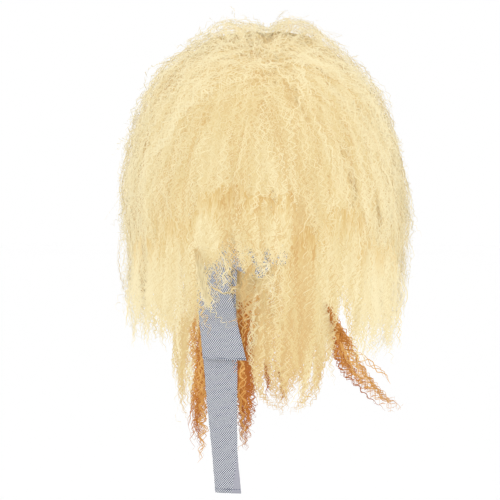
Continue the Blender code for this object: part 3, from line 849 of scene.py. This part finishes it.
def under_mass(name, form, material):
    """The hair beneath the loose locks: a closed layer a little inside the solid's outside."""
    columns, rows = form.outer.shape[:2]
    shares = np.linspace(0, 1, MASS_ROWS)
    across = np.arange(columns) / columns
    places = np.repeat(across[:, None], len(shares), axis=1)
    ragged = 1.5 * np.sin(across * 2 * np.pi * 23) + 1.5 * np.sin(across * 2 * np.pi * 37 + 1.0)
    row = np.maximum(form.body - MASS_SHORT_ROWS + ragged, 6)[:, None] * shares[None, :]
    outer = sample(form, form.outer, places, row)
    inner = sample(form, form.inner, places, row)
    out = unit(outer - inner)
    ripple = MASS_RIPPLE * np.sin(places * 2 * np.pi * 61 + 2.0 * np.sin(row * 0.35))
    near_tip = np.clip((1 - shares) * MASS_TAPER, 0.05, 1.0)[None, :, None]
    middle = (outer + inner) / 2
    outside = outer - out * (MASS_SINK + ripple)[..., None]
    outside = middle + (outside - middle) * near_tip
    outside[..., 2] += np.minimum(tufts(outside), 0)
    inside = middle + (inner + out * MASS_LINING - middle) * near_tip
    ring = np.concatenate((outside, inside[:, ::-1]), axis=1)
    count = ring.shape[1]
    verts = ring.reshape(-1, 3)
    column = np.arange(columns)[:, None]
    step = np.arange(count - 1)[None, :]
    first = column * count + step
    after = (column + 1) % columns * count + step
    quads = np.stack((first, first + 1, after + 1, after), axis=-1).reshape(-1, 4)
    mesh = bpy.data.meshes.new(name)
    mesh.from_pydata(verts.tolist(), [], quads.tolist())
    layer = mesh.uv_layers.new(name="fibres")
    # The map in metres: once round the hair, and from the whorl to the tips
    size = np.array([2 * math.pi * 0.14, 0.45])
    turn, index = np.divmod(quads, count)
    at_seam = column.repeat(count - 1, 1).reshape(-1, 1) == columns - 1
    turn = np.where((turn == 0) & at_seam, columns, turn)
    uv = np.stack((turn / columns, index / (count / 2)), axis=-1) * size
    layer.data.foreach_set("uv", uv.ravel())
    mesh.shade_smooth()
    made = add_piece(name, mesh, [material])
    made.visible_diffuse = False
    return made


def deep_fibre_painted_shade(name, shade, middle):
    """The same fibre seen deep in the hair, where it lies close; its darker colour is painted shade. Waves
    7.5 mm long over lines 0.9 mm apart, drawn as colour and as relief."""
    material, tree, shader = new_material(name)
    place = add_node(tree, "ShaderNodeUVMap", uv_map="fibres")
    axes = add_node(tree, "ShaderNodeSeparateXYZ", {"Vector": place.outputs["UV"]})
    patches = add_node(tree, "ShaderNodeTexNoise", {"Vector": place.outputs["UV"], "Scale": 60.0})
    turns = {0: axes.outputs["Y"], 1: 2 * math.pi / 0.0075, 2: patches.outputs["Fac"]}
    angle = add_node(tree, "ShaderNodeMath", turns, operation="MULTIPLY_ADD")
    wave = add_node(tree, "ShaderNodeMath", {0: angle.outputs[0]}, operation="SINE")
    swing = {0: wave.outputs[0], 1: 0.0016, 2: axes.outputs["X"]}
    across = add_node(tree, "ShaderNodeMath", swing, operation="MULTIPLY_ADD")
    stretched = add_node(tree, "ShaderNodeMath", {0: axes.outputs["Y"], 1: 0.06}, operation="MULTIPLY")
    moved = add_node(tree, "ShaderNodeCombineXYZ", {"X": across.outputs[0], "Y": stretched.outputs[0]})
    lines = add_node(tree, "ShaderNodeTexNoise", {"Vector": moved.outputs[0], "Scale": 700.0, "Detail": 3.0})
    tones = ((0.35, shade), (0.65, middle))
    tone = add_node(tree, "ShaderNodeValToRGB", {"Fac": lines.outputs["Fac"]}, tones)
    waves = {"Height": lines.outputs["Fac"], "Strength": 0.8, "Distance": 0.0015}
    relief = add_node(tree, "ShaderNodeBump", waves)
    looks = {"Base Color": tone.outputs["Color"], "Normal": relief.outputs["Normal"], "Roughness": 0.7}
    set_inputs(tree, shader, looks)
    return material


def read_hanging(name, columns, rows):
    """A hanging cloth's outside, between its two edges at each row."""
    surface = node_surface(name)
    low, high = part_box(name)
    scan = np.arange(low.x, high.x, SCAN_STEP)
    grid = []
    for z in np.linspace(high.z - SCAN_STEP, low.z + SCAN_STEP, rows):
        met = [x for x in scan if hit_from_behind(surface, x, z)]
        if len(met) < 3:
            continue
        grid.append([tuple(hit_from_behind(surface, x, z)) for x in np.linspace(met[0], met[-1], columns)])
    return np.array(grid)


def read_band(columns, rows):
    """The band's outside, from its top edge to its bottom one at each azimuth, from the face on."""
    surface = node_surface("bandana_band")
    low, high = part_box("bandana_band")
    grid = np.zeros((rows, columns, 3))
    for column in range(columns):
        azimuth = math.pi + 2 * math.pi * column / columns
        level = Vector((math.sin(azimuth), math.cos(azimuth), 0))
        scan = np.arange(high.z - SCAN_STEP, low.z, -SCAN_STEP)
        hits = [surface.ray_cast(level * REACH + Vector((0, 0, z)), -level, REACH)[0] for z in scan]
        met = [z for z, hit in zip(scan, hits) if hit]
        for row, z in enumerate(np.linspace(met[0], met[-1], rows)):
            grid[row, column] = surface.ray_cast(level * REACH + Vector((0, 0, z)), -level, REACH)[0]
    return grid


def cloth_mesh(name, grid, thickness, materials, around=False, painted=None):
    """Cloth of even thickness whose outside is the grid, with its weave's map in metres."""
    rows, columns = grid.shape[:2]
    if around:
        grid = np.concatenate((grid, grid[:, :1]), axis=1)
        columns += 1
    across = np.gradient(grid, axis=1)
    down = np.gradient(grid, axis=0)
    out = unit(np.cross(across, down))
    if (out * grid).sum() < 0:
        out = -out
    inner = grid - out * thickness
    points = np.concatenate((grid.reshape(-1, 3), inner.reshape(-1, 3)))
    u = np.concatenate((np.zeros((rows, 1)), np.cumsum(spacing(grid, 1), axis=1)), axis=1)
    v = np.concatenate((np.zeros((1, columns)), np.cumsum(spacing(grid, 0), axis=0)), axis=0)
    u = u - u[:, -1:] / 2
    v = np.repeat(v.mean(axis=1, keepdims=True), columns, axis=1)
    flat = np.stack((u, v), axis=-1).reshape(-1, 2)
    flat = np.concatenate((flat, flat + np.array([0.0, 1.0])))
    half = rows * columns
    row, column = np.meshgrid(np.arange(rows - 1), np.arange(columns - 1), indexing="ij")
    first = (row * columns + column).ravel()
    front = np.stack((first, first + 1, first + columns + 1, first + columns), axis=1)
    faces = [front, front[:, ::-1] + half]
    top = np.arange(columns - 1)
    bottom = (rows - 1) * columns + top
    faces.append(np.stack((top + 1, top, top + half, top + half + 1), axis=1))
    faces.append(np.stack((bottom, bottom + 1, bottom + half + 1, bottom + half), axis=1))
    if not around:
        left = np.arange(rows - 1) * columns
        right = left + columns - 1
        faces.append(np.stack((left, left + columns, left + half + columns, left + half), axis=1))
        faces.append(np.stack((right + columns, right, right + half, right + half + columns), axis=1))
    faces = np.concatenate(faces)
    mesh = bpy.data.meshes.new(name)
    mesh.from_pydata(points.tolist(), [], faces.tolist())
    layer = mesh.uv_layers.new(name=WEAVE)
    layer.data.foreach_set("uv", flat[faces].ravel())
    mesh.shade_smooth()
    made = add_piece(name, mesh, materials)
    if painted is not None:
        mesh.polygons.foreach_set("material_index", painted(points[faces].mean(axis=1)).astype(np.int32))
    return made


def turned_back(centres):
    """Which faces of the lower end are its reverse: both edges near the bottom, folded back."""
    depth = -centres[:, 2]
    right = TURN_RIGHT + (depth - TURN_DEPTH) * 0.12
    left = TURN_LEFT - (depth - TURN_DEPTH) * 0.14
    return (depth > TURN_DEPTH) & ((centres[:, 0] < right) | (centres[:, 0] > left))


def read_knot(columns, rows):
    """The knot's outside seen from its middle, with the grooves beside its wrap and its folds."""
    surface = node_surface("bandana_knot")
    low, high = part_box("bandana_knot")
    centre = (low + high) / 2
    axis = Vector((math.cos(KNOT_TILT), 0, -math.sin(KNOT_TILT)))
    side = Vector((0, 1, 0))
    up = axis.cross(side)
    grid = np.zeros((rows, columns, 3))
    for row, tilt in enumerate(np.linspace(0.02, math.pi - 0.02, rows)):
        for column, turn in enumerate(np.linspace(0, 2 * math.pi, columns)):
            level = side * math.cos(turn) + up * math.sin(turn)
            direction = axis * math.cos(tilt) + level * math.sin(tilt)
            reach = (surface.ray_cast(centre, direction)[0] - centre).length
            along = abs(math.cos(tilt))
            groove = KNOT_GROOVE * math.exp(-(((along - KNOT_WRAP) / 0.10) ** 2))
            if along > KNOT_WRAP:
                fold = KNOT_LOBE_FOLD * (1 + math.sin(7 * turn + 2 * along)) / 2
            else:
                fold = KNOT_WRAP_FOLD * (1 + math.sin(26 * math.cos(tilt) + 1.5 * math.sin(turn))) / 2
            grid[row, column] = centre + direction * (reach - groove - fold)
    return grid


def creases(grid, size, seed):
    """Soft creases in hanging cloth, pressed in along its length."""
    rng = np.random.default_rng(seed)
    rows, columns = grid.shape[:2]
    down = np.linspace(0, 1, rows)[:, None]
    across = np.linspace(-1, 1, columns)[None, :]
    depth = np.zeros((rows, columns))
    for _ in range(CREASES):
        slant, place, length = rng.normal(0, 0.5), rng.uniform(-1, 1), rng.uniform(0.1, 0.5)
        middle = rng.uniform(0, 1)
        line = across - place - slant * (down - middle) * 3
        depth += rng.uniform(-1, 1) * np.exp(-((line / 0.22) ** 2) - ((down - middle) / length) ** 2)
    grid = grid.copy()
    grid[..., 1] += size * (depth - depth.max())
    return grid


def stitch_row(name, line, out, material):
    """A row of lockstitches that lies on the cloth along a line."""
    build = bmesh.new()
    along = along_line(line)
    for place in np.arange(STITCH_PITCH * 0.5, along[-1], STITCH_PITCH):
        ends = between([place - STITCH_LENGTH / 2, place + STITCH_LENGTH / 2], along, line)
        start, end = (Vector(point) for point in ends)
        turn = (end - start).to_track_quat("X", "Z").to_matrix().to_4x4()
        size = Matrix.Diagonal((STITCH_LENGTH, STITCH_THREAD, STITCH_THREAD, 1))
        centre = Matrix.Translation((start + end) / 2 + Vector(out) * STITCH_THREAD * 0.3)
        bmesh.ops.create_uvsphere(build, u_segments=6, v_segments=5, radius=0.5, matrix=centre @ turn @ size)
    mesh = bpy.data.meshes.new(name)
    build.to_mesh(mesh)
    build.free()
    mesh.shade_smooth()
    return add_piece(name, mesh, [material])


def pin_dot_poplin(name, pale, navy):
    """Cotton poplin woven in a fine check of navy on near white, cut on the bias. Its matt surface
    has fibre fuzz. The check's pitch is 1.65 mm, and the yarns, 0.3 mm apart, are drawn as relief."""
    material, tree, shader = new_material(name)
    place = add_node(tree, "ShaderNodeUVMap", uv_map=WEAVE)
    bias = {"Vector": place.outputs["UV"], "Rotation": (0, 0, math.radians(45)), "Scale": (1 / 0.00165,) * 3}
    turned = add_node(tree, "ShaderNodeMapping", bias)
    cell = add_node(tree, "ShaderNodeVectorMath", {0: turned.outputs["Vector"]}, operation="FRACTION")
    middle = {0: cell.outputs[0], 1: (0.5, 0.5, 0)}
    centred = add_node(tree, "ShaderNodeVectorMath", middle, operation="SUBTRACT")
    flat = add_node(tree, "ShaderNodeVectorMath", {0: centred.outputs[0], 1: (1, 1, 0)}, operation="MULTIPLY")
    radius = add_node(tree, "ShaderNodeVectorMath", {0: flat.outputs[0]}, operation="LENGTH")
    dots = ((0.38, navy), (0.48, pale))
    dot = add_node(tree, "ShaderNodeValToRGB", {"Fac": radius.outputs["Value"]}, dots)
    weave = {"Vector": turned.outputs["Vector"], "Scale": 5.5, "Detail": 2.0}
    yarns = add_node(tree, "ShaderNodeTexNoise", weave)
    raised = {"Height": yarns.outputs["Fac"], "Strength": 0.5, "Distance": 0.0003}
    relief = add_node(tree, "ShaderNodeBump", raised)
    looks = {"Base Color": dot.outputs["Color"], "Normal": relief.outputs["Normal"]}
    matt = {"Roughness": 0.85, "Specular IOR Level": 0.3, "Sheen Weight": 0.15}
    set_inputs(tree, shader, looks | matt)
    return material


def plain_poplin(name, colour):
    """The same poplin's reverse, where the navy yarns show through as a greyish lilac."""
    material, tree, shader = new_material(name)
    place = add_node(tree, "ShaderNodeUVMap", uv_map=WEAVE)
    weave = {"Vector": place.outputs["UV"], "Scale": 900.0, "Detail": 2.0}
    yarns = add_node(tree, "ShaderNodeTexNoise", weave)
    tones = ((0.3, tuple(0.86 * part for part in colour[:3]) + (1.0,)), (0.7, colour))
    tone = add_node(tree, "ShaderNodeValToRGB", {"Fac": yarns.outputs["Fac"]}, tones)
    set_inputs(tree, shader, {"Base Color": tone.outputs["Color"], "Roughness": 0.85, "Sheen Weight": 0.15})
    return material


def spun_thread(name, colour):
    """Spun polyester sewing thread, two plies twisted together, matt."""
    material, tree, shader = new_material(name)
    place = add_node(tree, "ShaderNodeTexCoord")
    twist = add_node(tree, "ShaderNodeTexNoise", {"Vector": place.outputs["Object"], "Scale": 3000.0})
    tones = ((0.3, colour), (0.7, tuple(min(1.0, 1.5 * part) for part in colour[:3]) + (1.0,)))
    tone = add_node(tree, "ShaderNodeValToRGB", {"Fac": twist.outputs["Fac"]}, tones)
    set_inputs(tree, shader, {"Base Color": tone.outputs["Color"], "Roughness": 0.7})
    return material


def stretch_net(name, thread, gap):
    """Nylon stretch net with the hair machined on in rows: a mesh of 1.6 mm cells, with a sewn line every 11
    mm. Matt; darker between the threads, where the holes are painted shade."""
    material, tree, shader = new_material(name)
    place = add_node(tree, "ShaderNodeTexCoord")
    mesh = {"Vector": place.outputs["Object"], "Scale": 1 / 0.0016}
    cells = add_node(tree, "ShaderNodeTexVoronoi", mesh, feature="DISTANCE_TO_EDGE")
    axes = add_node(tree, "ShaderNodeSeparateXYZ", {"Vector": place.outputs["Object"]})
    rows = add_node(tree, "ShaderNodeMath", {0: axes.outputs["Z"], 1: 1 / 0.011}, operation="MULTIPLY")
    row = add_node(tree, "ShaderNodeMath", {0: rows.outputs[0], 1: 0.5}, operation="PINGPONG")
    seam = add_node(tree, "ShaderNodeMapRange", {0: row.outputs[0], 1: 0.0, 2: 0.09, 3: 1.0, 4: 0.0})
    threads = {0: cells.outputs["Distance"], 1: 0.04, 2: 0.16, 3: 1.0, 4: 0.0}
    net = add_node(tree, "ShaderNodeMapRange", threads)
    height = add_node(tree, "ShaderNodeMath", {0: net.outputs[0], 1: seam.outputs[0]}, operation="MAXIMUM")
    tones = ((0.0, gap), (1.0, thread))
    tone = add_node(tree, "ShaderNodeValToRGB", {"Fac": height.outputs[0]}, tones)
    raised = {"Height": height.outputs[0], "Strength": 0.6, "Distance": 0.0005}
    relief = add_node(tree, "ShaderNodeBump", raised)
    looks = {"Base Color": tone.outputs["Color"], "Normal": relief.outputs["Normal"], "Roughness": 0.8}
    set_inputs(tree, shader, looks)
    return material


def bandana_materials():
    """The bandana's right side, its reverse and its thread, made once."""
    cloth = settings()
    made = bpy.data.materials
    if "cotton_poplin_check" not in made:
        pin_dot_poplin("cotton_poplin_check", cloth.cloth_pale, cloth.cloth_navy)
        plain_poplin("cotton_poplin_reverse", cloth.cloth_reverse)
        spun_thread("spun_polyester_thread", cloth.thread)
    return made["cotton_poplin_check"], made["cotton_poplin_reverse"], made["spun_polyester_thread"]


def colour_setting(name, description, code):
    """A colour that a user can change."""
    return bpy.props.FloatVectorProperty(
        name=name, description=description, size=4, subtype="COLOR", default=linear(code)
    )


class WigSettings(bpy.types.PropertyGroup):
    """Sizes and colours that a user would change."""

    crimp_length: bpy.props.FloatProperty(
        name="Crimp length", description="Length of one wave of a lock", default=0.0084, unit="LENGTH"
    )
    crimp_height: bpy.props.FloatProperty(
        name="Crimp height", description="How far a wave swings to a side", default=0.0023, unit="LENGTH"
    )
    ribbon_width: bpy.props.FloatProperty(
        name="Fibre bundle width", description="Width of a bundle of fibres", default=0.0009, unit="LENGTH"
    )
    frizz_width: bpy.props.FloatProperty(
        name="Frizz width", description="Width of a stray fibre", default=0.0004, unit="LENGTH"
    )
    # The locks' colour cards run from shade to light; where a lock lies on them carries painted shade and
    # light by depth and place as well as its own tone
    blonde_light: colour_setting("Light blonde", "Lightest locks", "#F8EABF")
    blonde: colour_setting("Blonde", "Most locks", "#E8D198")
    blonde_shade: colour_setting("Blonde shade", "Deep locks", "#DBB67A")
    # The darker colour of the hair beneath the loose locks: painted shade
    blonde_deep_painted_shade: colour_setting("Blonde depth", "Matted hair", "#D3AA6D")
    ginger_light: colour_setting("Light ginger", "Ginger tips", "#E6B46A")
    ginger: colour_setting("Ginger", "Most ginger locks", "#CB8534")
    ginger_shade: colour_setting("Ginger shade", "Deep ginger locks", "#A85B1E")
    cloth_pale: colour_setting("Pale yarn", "The bandana's ground", "#F9FBFE")
    cloth_navy: colour_setting("Navy yarn", "The bandana's dots", "#12214A")
    cloth_reverse: colour_setting("Reverse", "The bandana's wrong side", "#ADADB8")
    thread: colour_setting("Thread", "The bandana's stitches", "#3C4763")
    net_thread: colour_setting("Net", "The cap's threads", "#DCC49A")
    # Painted shade in the net's holes
    net_gap_shade: colour_setting("Net gaps", "Between the cap's threads", "#B79B6E")


class WIG_OT_stage(bpy.types.Operator):
    """Sets up the camera, the floor and soft studio light."""

    bl_idname = "wig.stage"
    bl_label = "Stage"

    def execute(self, context):
        scene = context.scene
        scene.view_settings.view_transform = "Standard"
        camera = bpy.data.objects.new("camera", bpy.data.cameras.new("camera"))
        scene.collection.objects.link(camera)
        camera.data.sensor_width = SENSOR_WIDTH
        camera.data.lens = SENSOR_WIDTH * CAMERA_DISTANCE / PHOTO_WIDTH
        camera.data.clip_end = CAMERA_FAR
        away = Vector((0, math.cos(CAMERA_ELEVATION), math.sin(CAMERA_ELEVATION)))
        camera.location = PHOTO_CENTRE + away * CAMERA_DISTANCE
        camera.rotation_euler = (-away).to_track_quat("-Z", "Y").to_euler()
        scene.camera = camera
        world = bpy.data.worlds.new("studio")
        world.use_nodes = True
        background = world.node_tree.nodes["Background"]
        set_inputs(world.node_tree, background, {"Color": linear("#FFFFFF"), "Strength": 1.0})
        scene.world = world
        bpy.ops.mesh.primitive_plane_add(size=FLOOR_SIZE, location=(0, 0, FLOOR_HEIGHT))
        floor = context.object
        floor.name = "floor"
        material, tree, shader = new_material("pale_studio_floor")
        set_inputs(tree, shader, {"Base Color": linear("#FFFFFF"), "Roughness": 0.9})
        floor.data.materials.append(material)
        for name, place, size, power in LIGHTS:
            light = bpy.data.objects.new(name, bpy.data.lights.new(name, "AREA"))
            scene.collection.objects.link(light)
            light.data.size = size
            light.data.energy = power
            light.location = place
            light.rotation_euler = (PHOTO_CENTRE - light.location).to_track_quat("-Z", "Y").to_euler()
        return {"FINISHED"}


class WIG_OT_crown_hair(bpy.types.Operator):
    """Makes the outer layer of blonde locks, its frizz and its single curls."""

    bl_idname = "wig.crown_hair"
    bl_label = "Crown hair"

    def execute(self, context):
        form = read_crown()
        hair = settings()
        # The hair beneath the loose locks takes a darker colour: painted shade in the gaps between locks
        deep_painted_shade_material = deep_fibre_painted_shade("deep_modacrylic_blonde_painted_shade", hair.blonde_deep_painted_shade, hair.blonde)
        mass = under_mass("crown_under_mass", form, deep_painted_shade_material)
        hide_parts("crown_hair")
        rng = np.random.default_rng(CROWN_SEED)
        fibres = []
        for batch in CROWN_BATCHES:
            fibres += lay_fibres(form, batch, rng, hair)
        fibres += lay_frizz(form, rng, hair)
        for name, (start, end) in CROWN_PARTS.items():
            turns = [(fibre.turn - CROWN_FIRST) % 360 + CROWN_FIRST for fibre in fibres]
            part = [fibre for fibre, turn in zip(fibres, turns) if start <= turn < end]
            piece = ribbon_mesh(f"crown_fibres_{name}", part, hair_material("blonde"))
            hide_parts("crown_hair")
        curls = ribbon_mesh("crown_curls", lay_fibres(form, CROWN_CURLS, rng, hair), hair_material("blonde"))
        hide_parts("crown_hair")
        return {"FINISHED"}


class WIG_OT_nape_hair(bpy.types.Operator):
    """Makes the blonde and ginger locks under the bandana."""

    bl_idname = "wig.nape_hair"
    bl_label = "Nape hair"

    def execute(self, context):
        hair = settings()
        rng = np.random.default_rng(NAPE_SEED)
        for node, (kind, locks) in NAPE_PIECES.items():
            form = read_group(node)
            fibres = []
            for batch in NAPE_BATCHES:
                fibres += lay_fibres(form, batch._replace(locks=round(batch.locks * locks)), rng, hair)
            piece = ribbon_mesh(f"{node}_fibres", fibres, hair_material(kind))
            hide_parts(node)
        return {"FINISHED"}


class WIG_OT_loose_curls(bpy.types.Operator):
    """Makes the loose curls that cross the knot, the bandana's end and the nape."""

    bl_idname = "wig.loose_curls"
    bl_label = "Loose curls"

    def execute(self, context):
        hair = settings()
        rng = np.random.default_rng(CURL_SEED)
        surfaces = [node_surface(name) for name in nodes]
        for number, curl in enumerate(LOOSE_CURLS):
            curl = curl._replace(points=np.array(curl.points) * MILLIMETRE)
            fibres = lay_curl(curl, surfaces, CURL_LIFT, rng, hair)
            piece = ribbon_mesh(f"loose_curl_{curl.hair}_{number}", fibres, hair_material(curl.hair))
            piece.visible_shadow = piece.visible_diffuse = True
            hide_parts(curl.node)
        for name, curtain in CURTAINS.items():
            fibres = lay_curtain(curtain, surfaces, rng, hair)
            piece = ribbon_mesh(f"curtain_{name}", fibres, hair_material("blonde"))
            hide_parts(curtain.node)
        return {"FINISHED"}


class WIG_OT_bandana_tails(bpy.types.Operator):
    """Makes the bandana's two hanging ends with their hems, stitches and turned-back edges."""

    bl_idname = "wig.bandana_tails"
    bl_label = "Bandana ends"

    def execute(self, context):
        check, reverse, thread = bandana_materials()
        for node, seed in TAIL_SEEDS.items():
            grid = creases(read_hanging(node, *TAIL_GRID), CREASE_DEPTH, seed)
            hem = np.abs(np.linalg.norm(grid - grid[-1:], axis=2) - HEM_WIDTH)
            grid[..., 1] -= HEM_DENT * np.exp(-((hem / HEM_SOFTNESS) ** 2))
            painted = turned_back if node == "bandana_tail_lower" else None
            tail = cloth_mesh(f"{node}_cloth", grid, TAIL_CLOTH, (check, reverse), painted=painted)
            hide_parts(node)
            line = grid[-1] + (grid[-4] - grid[-1]) * 0.35
            sewn = stitch_row(f"{node}_stitches", line, (0, 1, 0), thread)
        return {"FINISHED"}


class WIG_OT_bandana_band(bpy.types.Operator):
    """Makes the folded band round the head and its knot."""

    bl_idname = "wig.bandana_band"
    bl_label = "Bandana band and knot"

    def execute(self, context):
        check, reverse, _ = bandana_materials()
        grid = read_band(*BAND_GRID)
        band = cloth_mesh("bandana_band_cloth", grid, BAND_CLOTH, (check, reverse), around=True)
        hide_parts("bandana_band")
        grid = read_knot(*KNOT_GRID)
        knot = cloth_mesh("bandana_knot_cloth", grid, KNOT_CLOTH, (check, reverse))
        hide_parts("bandana_knot")
        return {"FINISHED"}


class WIG_OT_cap(bpy.types.Operator):
    """Gives the cap its net."""

    bl_idname = "wig.cap"
    bl_label = "Cap"

    def execute(self, context):
        colours = settings()
        net = stretch_net("nylon_stretch_net", colours.net_thread, colours.net_gap_shade)
        for slot in nodes["wig_cap"].material_slots:
            slot.material = net
        return {"FINISHED"}


class WIG_PT_panel(bpy.types.Panel):
    """Lists the wig's pieces."""

    bl_idname = "WIG_PT_panel"
    bl_label = "Wig"
    bl_space_type = "VIEW_3D"
    bl_region_type = "UI"
    bl_category = "Wig"

    def draw(self, context):
        for name in WigSettings.__annotations__:
            self.layout.prop(context.scene.wig_settings, name)
        for operator in OPERATORS:
            self.layout.operator(operator.bl_idname)


OPERATORS = (
    WIG_OT_stage,
    WIG_OT_cap,
    WIG_OT_bandana_band,
    WIG_OT_bandana_tails,
    WIG_OT_crown_hair,
    WIG_OT_nape_hair,
    WIG_OT_loose_curls,
)
CLASSES = (WigSettings, *OPERATORS, WIG_PT_panel)


def register():
    for each in CLASSES:
        bpy.utils.register_class(each)
    bpy.types.Scene.wig_settings = bpy.props.PointerProperty(type=WigSettings)


def unregister():
    del bpy.types.Scene.wig_settings
    for each in reversed(CLASSES):
        bpy.utils.unregister_class(each)


def main():
    register()
    for operator in OPERATORS:
        getattr(bpy.ops.wig, operator.bl_idname.split(".")[1])()


if __name__ == "__main__":
    main()
